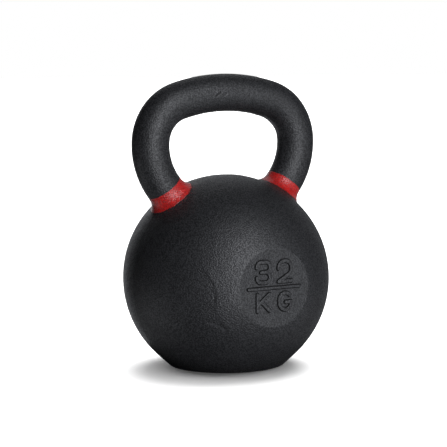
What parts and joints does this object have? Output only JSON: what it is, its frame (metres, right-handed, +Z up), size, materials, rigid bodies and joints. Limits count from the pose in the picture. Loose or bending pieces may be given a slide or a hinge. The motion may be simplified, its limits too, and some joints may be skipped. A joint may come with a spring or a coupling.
{
  "type": "kettlebell",
  "caption": "Cast-iron kettlebell: round bell with a flat base, looped handle, red colour bands at the handle roots and flat weight plates with a raised mass mark.",
  "frame": {"origin": "centre of the flat resting face, on the ground plane", "axes": "+Z up through the ball's centre and the middle of the grip, +X across the handle, -Y out of the front weight plate"},
  "size_m": [0.2, 0.1878, 0.2814],
  "materials": {
    "black_iron": "matte black powder coat over as-cast iron",
    "red_paint": "satin red enamel sprayed over the powder coat"
  },
  "bodies": {
    "root": {"bell": "black_iron", "handle": "black_iron", "left_band": "red_paint", "right_band": "red_paint", "front_weight_plate": "black_iron", "front_mass_numerals": "black_iron", "front_divider_bar": "black_iron", "front_unit_letters": "black_iron", "rear_weight_plate": "black_iron", "rear_mass_numerals": "black_iron", "rear_divider_bar": "black_iron", "rear_unit_letters": "black_iron"}
  },
  "joints": []
}
